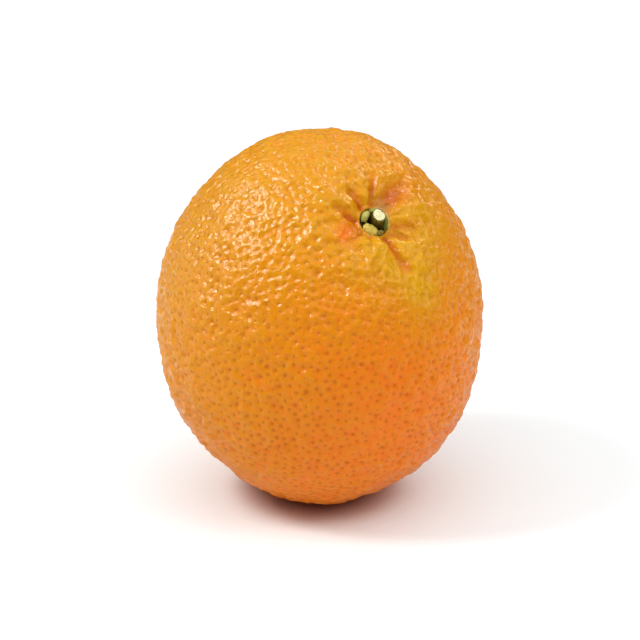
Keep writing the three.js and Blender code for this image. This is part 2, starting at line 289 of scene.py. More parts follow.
# What else shows in the peel: green left above the stalk and on the rim of the well, and cork on
# the scar. The first number is how strong each is, at most 1.
GREEN_PATCH = (0.75, (3.4, 2.9), 1.9)
GREEN_RIM = (0.3, (3.0, 4.4))
CORK = (0.85, (1.0, 1.9))

# Where the ripple, the pits and the painted shade in the pits begin and how they fade: distances
# from the stalk, from the blossom end and above the rest spot, and the share that is left of each
# near the stalk.
RIPPLE_START = (3.9, 6.5)
RIPPLE_OFF_SCAR = (1.7, 3.0)
RIPPLE_OFF_REST = (0, 1.2)
RIPPLE_GAIN = 0.6
RIPPLE_GAIN_REACH = 18
PITS_LEFT = 0.25
PITS_DEEPEN = (5.0, 16.0)
PIT_SHADE_LEFT = 0.3
PIT_SHADE_DARKEN = (16.0, 42.0)

from_redder = np.arccos(np.clip(directions @ REDDER_SIDE, -1, 1))
# The shift with the side is partly painted light and shade, for how the light falls across the fruit.
gold = MEAN_GOLD + SUN_AND_PAINTED_LIGHT_GAIN * (skin @ GOLDEN_SIDE) / HALF_SIZES[2]
gold = gold - REDDER_LOSS * bell(from_redder / REDDER_REACH)
for (tint_u, tint_v), reach, strength in STALK_END_TINTS:
    gold += strength * bell(np.hypot(plan_u - tint_u, plan_v - tint_v) / reach) * stalk_side
strength, (green_u, green_v), reach = GREEN_PATCH
green = strength * bell(np.hypot(plan_u - green_u, plan_v - green_v) / reach) * stalk_side
green = np.maximum(green, GREEN_RIM[0] * (1 - smoothstep(distance, *GREEN_RIM[1])))
cork = CORK[0] * (1 - smoothstep(from_blossom, *CORK[1]))
above_rest = skin[:, 2] + middle_height
rippled = smoothstep(distance, *RIPPLE_START) * smoothstep(from_blossom, *RIPPLE_OFF_SCAR)
rippled = rippled * smoothstep(above_rest, *RIPPLE_OFF_REST)
pitted = rippled * (PITS_LEFT + (1 - PITS_LEFT) * smoothstep(distance, *PITS_DEEPEN))
rippled = rippled * (1 + RIPPLE_GAIN * bell(distance / RIPPLE_GAIN_REACH))
# The painted shade in the pits: weaker near the stalk, strongest far from it.
dotted = pitted * (PIT_SHADE_LEFT + (1 - PIT_SHADE_LEFT) * smoothstep(distance, *PIT_SHADE_DARKEN))


def linear(code):
    """The linear colour of an sRGB hex code."""
    parts = [int(code[i:i + 2], 16) / 255 for i in (1, 3, 5)]
    return (*(p / 12.92 if p <= 0.04045 else ((p + 0.055) / 1.055) ** 2.4 for p in parts), 1.0)


def add_node(tree, kind, inputs=None, stops=(), **settings):
    """Adds a node with its settings, and fills its inputs or links them to other nodes' outputs.

    Stops are the places and hex colours of a colour ramp.
    """
    node = tree.nodes.new(kind)
    for name, value in settings.items():
        setattr(node, name, value)
    for key, value in (inputs or {}).items():
        if isinstance(value, bpy.types.NodeSocket):
            tree.links.new(value, node.inputs[key])
        else:
            node.inputs[key].default_value = value
    while len(stops) > 2 and len(node.color_ramp.elements) < len(stops):
        node.color_ramp.elements.new(0.5)
    for number, (place, code) in enumerate(stops):
        node.color_ramp.elements[number].position = place
        node.color_ramp.elements[number].color = linear(code)
    return node


def new_material(name):
    material = bpy.data.materials.new(name)
    material.use_nodes = True
    material.node_tree.nodes.clear()
    return material


def make_piece(name, points, faces, material, **attributes):
    """An object from points in millimetres from the fruit's middle, with a value for each point."""
    mesh = bpy.data.meshes.new(name)
    if not isinstance(faces, list):
        faces = faces.tolist()
    mesh.from_pydata(((points + middle) * MM).tolist(), [], faces)
    for key, values in attributes.items():
        mesh.attributes.new(key, "FLOAT", "POINT").data.foreach_set("value", values.astype(np.float32))
    mesh.polygons.foreach_set("use_smooth", [True] * len(mesh.polygons))
    mesh.materials.append(material)
    mesh.update()
    piece = bpy.data.objects.new(name, mesh)
    bpy.context.collection.objects.link(piece)
    return piece


# Waxed orange peel: a thin clear wax over a flesh-like skin that lets light in a little. It gives
# the eye a deep orange that is more golden towards the top, partly its own colour and partly painted
# light and shade, with painted shade as a darker dot in each pit and a darker red along the creases,
# and dull broken highlights.
peel = new_material("waxed_orange_peel")
tree = peel.node_tree
# The dark dot in each pit is painted shade, darkest in the pit's middle.
PIT_SHADE_FADE = (0.08, 0.6)  # from a pit's middle, the distances between which its dark dot fades
PIT_SHADE_SHARE = 0.4
PORE_DIMPLE = (0.0, 0.55)  # and between which its fine dimple does
PORE_DIMPLE_DEPTH = 0.07
CREASE_SHADE_SHARE = 0.75
BLOTCHES = ((22, 0.15), (3.0, 0.3), (0.9, 0.35))  # sizes of the patches of hue, and their strength
GLAND = (0.9, 1.0, 0.3)  # size, detail and height of the swellings between the pits
WAX = (0.4, 2.0, 0.08)  # and of the unevenness of the wax

skin_at = add_node(tree, "ShaderNodeAttribute", attribute_name="skin")
pore_at = add_node(tree, "ShaderNodeAttribute", attribute_name="pore_centre")
pore_size = add_node(tree, "ShaderNodeAttribute", attribute_name="pore_size")
gold_at = add_node(tree, "ShaderNodeAttribute", attribute_name="gold")
crease_shade_at = add_node(tree, "ShaderNodeAttribute", attribute_name="crease")
green_at = add_node(tree, "ShaderNodeAttribute", attribute_name="green")
cork_at = add_node(tree, "ShaderNodeAttribute", attribute_name="cork")
dotted_at = add_node(tree, "ShaderNodeAttribute", attribute_name="dotted")
in_mm = add_node(tree, "ShaderNodeVectorMath", {0: skin_at.outputs["Vector"], "Scale": 1 / MM},
                 operation="SCALE")
skin_mm = in_mm.outputs[0]
away = add_node(tree, "ShaderNodeVectorMath", {0: skin_at.outputs["Vector"], 1: pore_at.outputs["Vector"]},
                operation="DISTANCE")
away_mm = add_node(tree, "ShaderNodeMath", {0: away.outputs["Value"], 1: 1 / MM}, operation="MULTIPLY")
pore_away = add_node(tree, "ShaderNodeMath", {0: away_mm.outputs[0], 1: pore_size.outputs["Fac"]},
                     operation="DIVIDE")

ripeness = gold_at.outputs["Fac"]
for blotch_size, weight in BLOTCHES:
    texture = add_node(tree, "ShaderNodeTexNoise", {
        "Vector": skin_mm, "Scale": 1 / blotch_size, "Detail": 2.0,
    })
    centred = add_node(tree, "ShaderNodeMath", {0: texture.outputs["Fac"], 1: 0.5}, operation="SUBTRACT")
    ripeness = add_node(tree, "ShaderNodeMath", {0: centred.outputs[0], 1: weight, 2: ripeness},
                        operation="MULTIPLY_ADD").outputs[0]
colour = add_node(tree, "ShaderNodeValToRGB", {"Fac": ripeness}, stops=[
    (0.0, "#E86800"), (0.3, "#E47200"), (0.55, "#D88200"), (0.85, "#CE9000"), (1.0, "#D69A00"),
]).outputs["Color"]

# Painted shade in each pit: a darker dot round its middle.
dot = add_node(tree, "ShaderNodeMapRange", {
    "Value": pore_away.outputs[0], "From Min": PIT_SHADE_FADE[0], "From Max": PIT_SHADE_FADE[1],
    "To Min": PIT_SHADE_SHARE, "To Max": 0.0,
}, interpolation_type="SMOOTHSTEP")
pit_shade_mix = add_node(tree, "ShaderNodeMath", {0: dot.outputs[0], 1: dotted_at.outputs["Fac"]},
                     operation="MULTIPLY")
# Painted shade: the peel turns a darker red along the creases.
crease_shade_mix = add_node(tree, "ShaderNodeMath", {0: crease_shade_at.outputs["Fac"], 1: CREASE_SHADE_SHARE},
                        operation="MULTIPLY")
# The first two colours mixed in are painted shade, in the pits and along the creases; the green and the
# cork are the peel's own.
for share, code in ((pit_shade_mix.outputs[0], "#A84400"), (crease_shade_mix.outputs[0], "#BE4400"),
                    (green_at.outputs["Fac"], "#A88440"), (cork_at.outputs["Fac"], "#8A5A22")):
    colour = add_node(tree, "ShaderNodeMix", {0: share, 6: colour, 7: linear(code)},
                      data_type="RGBA").outputs[2]

dimple = add_node(tree, "ShaderNodeMapRange", {
    "Value": pore_away.outputs[0], "From Min": PORE_DIMPLE[0], "From Max": PORE_DIMPLE[1],
    "To Min": -PORE_DIMPLE_DEPTH, "To Max": 0.0,
}, interpolation_type="SMOOTHSTEP")
height = dimple.outputs[0]
for lump_size, detail, weight in (GLAND, WAX):
    texture = add_node(tree, "ShaderNodeTexNoise", {
        "Vector": skin_mm, "Scale": 1 / lump_size, "Detail": detail,
    })
    height = add_node(tree, "ShaderNodeMath", {0: texture.outputs["Fac"], 1: weight, 2: height},
                      operation="MULTIPLY_ADD").outputs[0]
bump = add_node(tree, "ShaderNodeBump", {"Strength": 1.0, "Distance": MM, "Height": height})
shader = add_node(tree, "ShaderNodeBsdfPrincipled", {
    "Base Color": colour,
    "Roughness": 0.24,
    "IOR": 1.27,
    "Subsurface Weight": 0.15,
    "Subsurface Radius": (1.0, 0.35, 0.1),
    "Subsurface Scale": 0.0015,
    "Normal": bump.outputs[0],
})
add_node(tree, "ShaderNodeOutputMaterial", {"Surface": shader.outputs[0]})

bare_fruit = make_piece("bare_fruit", skin, fruit_faces, peel, gold=gold, crease=crease_shade, green=green,
                        cork=cork, pitted=pitted, rippled=rippled, dotted=dotted)

# The pits: points spread evenly at random over the peel, each of which draws the skin in round it.
# The tree also keeps the skin's place before that, and the pit that each face lies nearest to, for
# the peel's colour with the painted shade in each pit, and for its fine relief.
PORE_SPACING = 1.65  # the least between two pits; they come out about 2 mm apart
PORE_SIZES = (0.6, 1.25)  # the smallest and largest, as shares of the radius and depth
PORE_RADIUS = 0.85
PORE_DEPTH = 0.5
RIPPLE_SIZE = 6.0  # of its largest waves; the finest are a quarter of that
RIPPLE_HEIGHT = 1.9
PORE_SEED = 12
PORES_AT_MOST = 1.5e6  # tried in a square metre, before those too close go

pores = bpy.data.node_groups.new("peel_pits", "GeometryNodeTree")
sockets = {}
for name, kind, value in (
    ("Fruit", "NodeSocketGeometry", None),
    ("Pore spacing", "NodeSocketFloat", PORE_SPACING * MM),
    ("Pore radius", "NodeSocketFloat", PORE_RADIUS * MM),
    ("Pore depth", "NodeSocketFloat", PORE_DEPTH * MM),
    ("Ripple size", "NodeSocketFloat", RIPPLE_SIZE * MM),
    ("Ripple height", "NodeSocketFloat", RIPPLE_HEIGHT * MM),
    ("Seed", "NodeSocketInt", PORE_SEED),
    ("Peel", "NodeSocketMaterial", peel),
):
    sockets[name] = (pores.interface.new_socket(name, in_out="INPUT", socket_type=kind), value)
pores.interface.new_socket("Fruit", in_out="OUTPUT", socket_type="NodeSocketGeometry")
given = add_node(pores, "NodeGroupInput").outputs
place = add_node(pores, "GeometryNodeInputPosition").outputs[0]
spread = add_node(pores, "GeometryNodeDistributePointsOnFaces", {
    "Mesh": given["Fruit"], "Distance Min": given["Pore spacing"], "Density Max": PORES_AT_MOST,
    "Seed": given["Seed"],
}, distribute_method="POISSON")
nearest = add_node(pores, "GeometryNodeSampleNearest", {
    "Geometry": spread.outputs["Points"], "Sample Position": place,
}, domain="POINT")
centre = add_node(pores, "GeometryNodeSampleIndex", {
    "Geometry": spread.outputs["Points"], "Value": place, "Index": nearest.outputs[0],
}, data_type="FLOAT_VECTOR")
size = add_node(pores, "FunctionNodeRandomValue", {
    2: PORE_SIZES[0], 3: PORE_SIZES[1], "ID": nearest.outputs[0], "Seed": given["Seed"],
}, data_type="FLOAT")
gap = add_node(pores, "ShaderNodeVectorMath", {0: place, 1: centre.outputs[0]}, operation="DISTANCE")
reach = add_node(pores, "ShaderNodeMath", {0: given["Pore radius"], 1: size.outputs[1]},
                 operation="MULTIPLY")
share = add_node(pores, "ShaderNodeMath", {0: gap.outputs["Value"], 1: reach.outputs[0]},
                 operation="DIVIDE")
squared = add_node(pores, "ShaderNodeMath", {0: share.outputs[0], 1: 2.0}, operation="POWER")
fall = add_node(pores, "ShaderNodeMath", {0: squared.outputs[0], 1: -1.0}, operation="MULTIPLY")
shape = add_node(pores, "ShaderNodeMath", {0: fall.outputs[0]}, operation="EXPONENT")
pit = add_node(pores, "ShaderNodeMath", {0: shape.outputs[0], 1: given["Pore depth"]}, operation="MULTIPLY")
pit_sized = add_node(pores, "ShaderNodeMath", {0: pit.outputs[0], 1: size.outputs[1]}, operation="MULTIPLY")
ripple_scale = add_node(pores, "ShaderNodeMath", {0: 1.0, 1: given["Ripple size"]}, operation="DIVIDE")
ripple = add_node(pores, "ShaderNodeTexNoise", {
    "Vector": place, "Scale": ripple_scale.outputs[0], "Detail": 2.0, "Roughness": 0.85,
})
ripple_centred = add_node(pores, "ShaderNodeMath", {0: ripple.outputs[0], 1: 0.5}, operation="SUBTRACT")
raised = add_node(pores, "ShaderNodeMath", {0: ripple_centred.outputs[0], 1: given["Ripple height"]},
                  operation="MULTIPLY")
pitted_peel = add_node(pores, "GeometryNodeInputNamedAttribute", {"Name": "pitted"}, data_type="FLOAT")
rippled_peel = add_node(pores, "GeometryNodeInputNamedAttribute", {"Name": "rippled"}, data_type="FLOAT")
pits_here = add_node(pores, "ShaderNodeMath", {0: pit_sized.outputs[0], 1: pitted_peel.outputs[0]},
                     operation="MULTIPLY")
ripples_here = add_node(pores, "ShaderNodeMath", {0: raised.outputs[0], 1: rippled_peel.outputs[0]},
                        operation="MULTIPLY")
masked = add_node(pores, "ShaderNodeMath", {0: ripples_here.outputs[0], 1: pits_here.outputs[0]},
                  operation="SUBTRACT")
normal = add_node(pores, "GeometryNodeInputNormal")
offset = add_node(pores, "ShaderNodeVectorMath", {0: normal.outputs[0], "Scale": masked.outputs[0]},
                  operation="SCALE")
geometry = given["Fruit"]
for name, value, kind, domain in (
    ("skin", place, "FLOAT_VECTOR", "POINT"),
    ("pore_centre", centre.outputs[0], "FLOAT_VECTOR", "FACE"),
    ("pore_size", size.outputs[1], "FLOAT", "FACE"),
):
    geometry = add_node(pores, "GeometryNodeStoreNamedAttribute", {
        "Geometry": geometry, "Name": name, "Value": value,
    }, data_type=kind, domain=domain).outputs[0]
moved = add_node(pores, "GeometryNodeSetPosition", {"Geometry": geometry, "Offset": offset.outputs[0]})
real = add_node(pores, "GeometryNodeRealizeInstances", {"Geometry": moved.outputs[0]})
clad = add_node(pores, "GeometryNodeSetMaterial", {"Geometry": real.outputs[0], "Material": given["Peel"]})
add_node(pores, "NodeGroupOutput", {"Fruit": clad.outputs[0]})

pitting = bare_fruit.modifiers.new("peel_pits", "NODES")
pitting.node_group = pores
for name, (socket, value) in sockets.items():
    if value is not None:
        pitting[socket.identifier] = value
graph = bpy.context.evaluated_depsgraph_get()
fruit_mesh = bpy.data.meshes.new_from_object(bare_fruit.evaluated_get(graph), preserve_all_data_layers=True,
                                             depsgraph=graph)
fruit_mesh.name = "pitted_fruit"
bare_fruit.modifiers.remove(pitting)
fruit = bpy.data.objects.new("pitted_fruit", fruit_mesh)
bpy.context.collection.objects.link(fruit)
bpy.data.objects.remove(bare_fruit)
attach(fruit, "root")
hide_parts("fruit")

# The calyx: the leafy cup that the flower sat in, dried to a disc on the floor of the well, with
# five thick lobes that curl up its wall. It is leaf flesh, part green and part yellow, and it grew
# on the end of the stalk.

CALYX_FOOT = -4.95  # along the stalk, from the egg form
CALYX_TOP = -4.15
CALYX_RADIUS = 2.95
DISC_SIDES = 64
# Each lobe: where it is, its length, width, height above the disc and thickness, its tone from
# grey to yellow, and how pale its edge is.
LOBES = [
    (60, 3.3, 3.2, 2.0, 1.0, 0.4, 0.3),
    (133, 3.25, 2.7, 2.1, 1.7, 0.55, 0.45),
    (225, 3.45, 3.7, 1.6, 2.4, 0.95, 0.2),
    (279, 3.35, 1.9, 1.8, 1.1, 0.2, 0.1),
    (356, 3.35, 4.0, 2.3, 0.9, 0.5, 0.5),
]
LOBE_ROOT = 2.0
LOBE_SIDES = 28
LOBE_STEPS = 22
LOBE_ROUGHNESS = 0.3
LOBE_LUMP = 0.65
ROUGHNESS_SEED = 3  # without one the noise would differ from run to run
LOBE_SQUARENESS = 0.85  # 1 is a round section, and less is squarer
DISC_ROUGHNESS = 0.05
DISC_TONE = -0.3

noise.seed_set(ROUGHNESS_SEED)


def at_stalk(plan):
    """Points given across, up and out from the stalk's point, from the fruit's middle."""
    return stalk_point + plan @ np.array([across, up, out])


def loft(rings):
    """Faces over rings of equal numbers of points, each closed by a point at either end."""
    count = rings.shape[1]
    points = np.concatenate([rings[0].mean(0)[None], rings.reshape(-1, 3), rings[-1].mean(0)[None]])
    index = 1 + np.arange(rings.shape[0] * count).reshape(rings.shape[:2])
    following = np.roll(index, -1, 1)
    quads = np.stack([index[:-1], following[:-1], following[1:], index[1:]], -1).reshape(-1, 4)
    faces = quads.tolist()
    faces += [[0, b, a] for a, b in zip(index[0].tolist(), following[0].tolist())]
    faces += [[len(points) - 1, a, b] for a, b in zip(index[-1].tolist(), following[-1].tolist())]
    return points, faces


def roughened(points, lump, height):
    """The points, each moved a little by smooth noise of the given lump size."""
    return np.array([
        np.array(p) + height * np.array(noise.noise_vector(Vector(p) / lump)) for p in points.tolist()
    ])


calyx_points, calyx_faces, calyx_tones, calyx_edges = [], [], [], []


def add_to_calyx(points, faces, tone, edges):
    first = sum(len(part) for part in calyx_points)
    calyx_points.append(points)
    calyx_faces.extend([[first + corner for corner in face] for face in faces])
    calyx_tones.append(np.full(len(points), tone))
    calyx_edges.append(edges)


turns = np.linspace(0, 2 * math.pi, DISC_SIDES, endpoint=False)
disc_profile = [(2.3, CALYX_FOOT), (2.85, CALYX_FOOT + 0.12), (CALYX_RADIUS, CALYX_FOOT + 0.35),
                (2.85, CALYX_TOP - 0.15), (2.5, CALYX_TOP), (1.8, CALYX_TOP + 0.02), (0.9, CALYX_TOP)]
disc_rings = np.array([
    np.stack([r * np.cos(turns), r * np.sin(turns), np.full(DISC_SIDES, z)], -1) for r, z in disc_profile
])
disc_points, disc_faces = loft(disc_rings)
add_to_calyx(roughened(disc_points, LOBE_LUMP, DISC_ROUGHNESS), disc_faces, DISC_TONE,
             np.zeros(len(disc_points)))

for at, length, width, height_above, thickness, tone, paleness in LOBES:
    root = np.array([LOBE_ROOT, CALYX_FOOT + thickness / 2])
    bend_point = np.array([length - thickness / 2, CALYX_FOOT + thickness / 2])
    tip = np.array([length - thickness / 2, CALYX_TOP + height_above])
    shares = np.linspace(0.0, 1.0, LOBE_STEPS)
    spine = ((1 - shares) ** 2)[:, None] * root + (2 * shares * (1 - shares))[:, None] * bend_point
    spine = spine + (shares ** 2)[:, None] * tip
    tangent = unit(np.gradient(spine, axis=0))
    side_turns = np.linspace(0, 2 * math.pi, LOBE_SIDES, endpoint=False)
    squarish = np.sign(np.cos(side_turns)) * np.abs(np.cos(side_turns)) ** LOBE_SQUARENESS
    thick = np.sign(np.sin(side_turns)) * np.abs(np.sin(side_turns)) ** LOBE_SQUARENESS
    rings = []
    for share_at, (r, z), (tr, tz) in zip(shares, spine, tangent):
        taper = math.sqrt(max(1 - abs(2 * (0.02 + 0.96 * share_at) - 1) ** 3, 0.03))
        half_width = width / 2 * taper
        half_thick = thickness / 2 * taper
        radial = r + tz * thick * half_thick
        rings.append(np.stack([radial, squarish * half_width, z - tr * thick * half_thick], -1))
    lobe_points, lobe_faces = loft(np.array(rings))
    lobe_points = roughened(lobe_points + at, LOBE_LUMP, LOBE_ROUGHNESS) - at
    edge = np.concatenate([[0], np.repeat(shares, LOBE_SIDES) ** 3, [1]])
    across_lobe = np.concatenate([[0], np.tile(np.abs(squarish) ** 3, LOBE_STEPS), [0]])
    turn = math.radians(at)
    turned = lobe_points @ np.array([
        [math.cos(turn), math.sin(turn), 0],
        [-math.sin(turn), math.cos(turn), 0],
        [0, 0, 1],
    ])
    add_to_calyx(turned, lobe_faces, tone, paleness * np.maximum(edge, across_lobe))

# Drying calyx flesh: a thick green leaf that has yellowed, dull, with fine dark specks and paler
# edges.
MOTTLE_SIZE, MOTTLE_STRENGTH = 0.7, 0.9
SPECK_SIZE = 0.42
SPECK_STRENGTH = 0.8
CALYX_GRAIN_SIZE, CALYX_GRAIN_HEIGHT = 0.25, 0.08
calyx_flesh = new_material("drying_calyx_flesh")
tree = calyx_flesh.node_tree
place_at = add_node(tree, "ShaderNodeTexCoord")
calyx_mm = add_node(tree, "ShaderNodeVectorMath", {0: place_at.outputs["Object"], "Scale": 1 / MM},
                    operation="SCALE")
tone_at = add_node(tree, "ShaderNodeAttribute", attribute_name="tone")
edge_at = add_node(tree, "ShaderNodeAttribute", attribute_name="edge")
mottle = add_node(tree, "ShaderNodeTexNoise", {
    "Vector": calyx_mm.outputs[0], "Scale": 1 / MOTTLE_SIZE, "Detail": 3.0,
})
mottle_centred = add_node(tree, "ShaderNodeMath", {0: mottle.outputs["Fac"], 1: 0.5}, operation="SUBTRACT")
toned = add_node(tree, "ShaderNodeMath", {
    0: mottle_centred.outputs[0], 1: MOTTLE_STRENGTH, 2: tone_at.outputs["Fac"],
}, operation="MULTIPLY_ADD")
ramp = add_node(tree, "ShaderNodeValToRGB", {"Fac": toned.outputs[0]}, stops=[
    (0.0, "#382C08"), (0.12, "#746424"), (0.3, "#8C7A28"), (0.55, "#92A634"), (0.95, "#D0B244"),
])
specks = add_node(tree, "ShaderNodeTexVoronoi", {"Vector": calyx_mm.outputs[0], "Scale": 1 / SPECK_SIZE})
speck_share = add_node(tree, "ShaderNodeMapRange", {
    "Value": specks.outputs["Distance"], "From Min": 0.1, "From Max": 0.45, "To Min": SPECK_STRENGTH,
    "To Max": 0.0,
})
specked = add_node(tree, "ShaderNodeMix", {0: speck_share.outputs[0], 6: ramp.outputs["Color"],
                                           7: linear("#6A5A14")}, data_type="RGBA")
edged = add_node(tree, "ShaderNodeMix", {0: edge_at.outputs["Fac"], 6: specked.outputs[2],
                                         7: linear("#C8B878")}, data_type="RGBA")
calyx_grain = add_node(tree, "ShaderNodeTexNoise", {
    "Vector": calyx_mm.outputs[0], "Scale": 1 / CALYX_GRAIN_SIZE, "Detail": 2.0,
})
calyx_bump = add_node(tree, "ShaderNodeBump", {
    "Strength": 1.0, "Distance": CALYX_GRAIN_HEIGHT * MM, "Height": calyx_grain.outputs["Fac"],
})
shader = add_node(tree, "ShaderNodeBsdfPrincipled", {
    "Base Color": edged.outputs[2], "Roughness": 0.6, "IOR": 1.2, "Subsurface Weight": 0.1,
    "Subsurface Radius": (0.8, 0.7, 0.2), "Subsurface Scale": 0.0006, "Normal": calyx_bump.outputs[0],
})
add_node(tree, "ShaderNodeOutputMaterial", {"Surface": shader.outputs[0]})

calyx = make_piece("lobed_calyx", at_stalk(np.concatenate(calyx_points)), calyx_faces, calyx_flesh,
                   tone=np.concatenate(calyx_tones), edge=np.concatenate(calyx_edges))
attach(calyx, "root")
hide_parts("calyx")

# The stub of the stalk: a twig clipped off 3 mm above the calyx. Its bark is green, wrinkled and
# drying, and closes round the pale wood of the cut, which is rough where the blades crushed it.

STALK_FOOT = (1.0, -0.15)
STALK_END = (0.5, 0.6)
STALK_BOTTOM = -3.85
STALK_TOP = -0.95
STALK_SIDES = 60
STALK_RIBS = 5
BARK_EDGE = 1.42  # the wood's radius, inside the bark
BARK_RADIUS = 1.5  # at the cut, from which it widens to the foot and narrows a little between
BARK_FLARE = 0.45
BARK_FLARE_REACH = 0.45  # share of the height
BARK_WAIST = 0.05
BARK_RIB = 0.12  # share of the radius
BARK_LUMP, BARK_ROUGHNESS = 0.45, 0.12
WOOD_LUMP, WOOD_ROUGHNESS = 0.4, 0.2
stalk_turns = np.linspace(0, 2 * math.pi, STALK_SIDES, endpoint=False)


def stalk_ring(radius, z, ribs):
    share_up = (z - STALK_BOTTOM) / (STALK_TOP - STALK_BOTTOM)
    centre_u = STALK_FOOT[0] + (STALK_END[0] - STALK_FOOT[0]) * share_up
    centre_v = STALK_FOOT[1] + (STALK_END[1] - STALK_FOOT[1]) * share_up
    ribbed = radius * (1 + ribs * np.cos(STALK_RIBS * stalk_turns))
    return np.stack([centre_u + ribbed * np.cos(stalk_turns), centre_v + ribbed * np.sin(stalk_turns),
                     np.full(STALK_SIDES, z)], -1)


bark_rings = [stalk_ring(r, STALK_BOTTOM, 0) for r in (0.5, 1.0, 1.4)]
for share_up in np.linspace(0, 1, 26):
    flare = BARK_FLARE * math.exp(-(share_up / BARK_FLARE_REACH) ** 2)
    waist = -BARK_WAIST * math.sin(math.pi * share_up)
    ring_height = STALK_BOTTOM + 0.05 + (STALK_TOP - STALK_BOTTOM - 0.05) * share_up
    bark_rings.append(stalk_ring(BARK_RADIUS + flare + waist, ring_height, BARK_RIB * (1 - share_up)))
for radius, above_top in ((1.49, 0.06), (BARK_EDGE + 0.02, 0.05), (BARK_EDGE - 0.02, -0.05),
                          (BARK_EDGE - 0.02, -0.5), (0.5, -0.5)):
    bark_rings.append(stalk_ring(radius, STALK_TOP + above_top, 0))
bark_points, bark_faces = loft(np.array(bark_rings))
bark_points = roughened(bark_points, BARK_LUMP, BARK_ROUGHNESS)

wood_rings = [stalk_ring(r, STALK_TOP - 0.45, 0) for r in (0.5, 1.1)]
wood_rings += [stalk_ring(BARK_EDGE, STALK_TOP + z, 0) for z in (-0.4, -0.2, -0.05)]
wood_rings += [stalk_ring(r, STALK_TOP + 0.12 - 0.1 * (r / BARK_EDGE) ** 2, 0)
               for r in np.linspace(BARK_EDGE * 0.97, 0.1, 14)]
wood_points, wood_faces = loft(np.array(wood_rings))
wood_points = roughened(wood_points, WOOD_LUMP, WOOD_ROUGHNESS)

# Drying green bark: dark olive, dull, with a fine grain. Towards its foot it darkens to brown and
# near black, a painted shade where the stub goes down into the well.
BARK_MOTTLE_SIZE = 0.5
BARK_GRAIN_SIZE, BARK_GRAIN_HEIGHT = 0.2, 0.12
bark = new_material("drying_green_bark")
tree = bark.node_tree
place_at = add_node(tree, "ShaderNodeTexCoord")
bark_mm = add_node(tree, "ShaderNodeVectorMath", {0: place_at.outputs["Object"], "Scale": 1 / MM},
                   operation="SCALE")
foot_shade_at = add_node(tree, "ShaderNodeAttribute", attribute_name="height")
bark_mottle = add_node(tree, "ShaderNodeTexNoise", {
    "Vector": bark_mm.outputs[0], "Scale": 1 / BARK_MOTTLE_SIZE, "Detail": 3.0,
})
bark_tone_and_foot_shade = add_node(tree, "ShaderNodeMath", {0: bark_mottle.outputs["Fac"], 1: foot_shade_at.outputs["Fac"]},
                     operation="MULTIPLY")
ramp = add_node(tree, "ShaderNodeValToRGB", {"Fac": bark_tone_and_foot_shade.outputs[0]}, stops=[
    (0.05, "#2A1E02"), (0.25, "#453606"), (0.42, "#5E5010"), (0.6, "#8A7C3A"),
])
bark_grain = add_node(tree, "ShaderNodeTexNoise", {
    "Vector": bark_mm.outputs[0], "Scale": 1 / BARK_GRAIN_SIZE, "Detail": 3.0,
})
bark_bump = add_node(tree, "ShaderNodeBump", {
    "Strength": 1.0, "Distance": BARK_GRAIN_HEIGHT * MM, "Height": bark_grain.outputs["Fac"],
})
shader = add_node(tree, "ShaderNodeBsdfPrincipled", {
    "Base Color": ramp.outputs["Color"], "Roughness": 0.6, "IOR": 1.15, "Normal": bark_bump.outputs[0],
})
add_node(tree, "ShaderNodeOutputMaterial", {"Surface": shader.outputs[0]})

# Fresh-cut wood: cream, dry and rough, with fine dark specks where its vessels are crushed.
VESSEL_SPACING, VESSEL_RELIEF = 0.3, 0.08
cut_wood = new_material("clipped_stalk_wood")
tree = cut_wood.node_tree
place_at = add_node(tree, "ShaderNodeTexCoord")
wood_mm = add_node(tree, "ShaderNodeVectorMath", {0: place_at.outputs["Object"], "Scale": 1 / MM},
                   operation="SCALE")
wood_specks = add_node(tree, "ShaderNodeTexVoronoi", {
    "Vector": wood_mm.outputs[0], "Scale": 1 / VESSEL_SPACING,
})
ramp = add_node(tree, "ShaderNodeValToRGB", {"Fac": wood_specks.outputs["Distance"]}, stops=[
    (0.08, "#8C8048"), (0.3, "#D4CB94"), (0.6, "#EAE4B4"),
])
wood_bump = add_node(tree, "ShaderNodeBump", {
    "Strength": 1.0, "Distance": VESSEL_RELIEF * MM, "Height": wood_specks.outputs["Distance"],
})
shader = add_node(tree, "ShaderNodeBsdfPrincipled", {
    "Base Color": ramp.outputs["Color"], "Roughness": 0.75, "Normal": wood_bump.outputs[0],
})
add_node(tree, "ShaderNodeOutputMaterial", {"Surface": shader.outputs[0]})

# How far up the stub each point is; low down it sets the painted shade at the foot.
bark_height_for_shade = np.clip((bark_points[:, 2] - STALK_BOTTOM) / (STALK_TOP - STALK_BOTTOM), 0, 1)
stub = make_piece("stalk_bark", at_stalk(bark_points), bark_faces, bark, height=bark_height_for_shade)
cut = make_piece("stalk_wood", at_stalk(wood_points), wood_faces, cut_wood)
for piece in (stub, cut):
    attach(piece, "root")
    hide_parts("stalk")

# The table: a plain white sheet under the fruit and far behind it. Where something stands within
# a few millimetres over it, its white turns to warm brown: a painted shadow, as in the corner
# under a fruit.
FLOOR_HALF = 3.0  # metres
CONTACT_SHADOW_REACH = 9
CONTACT_SHADOW_OPEN = (0.1, 0.55)  # shares of open sky between which the brown turns white
table_paint = new_material("white_table_with_painted_shadow")
tree = table_paint.node_tree
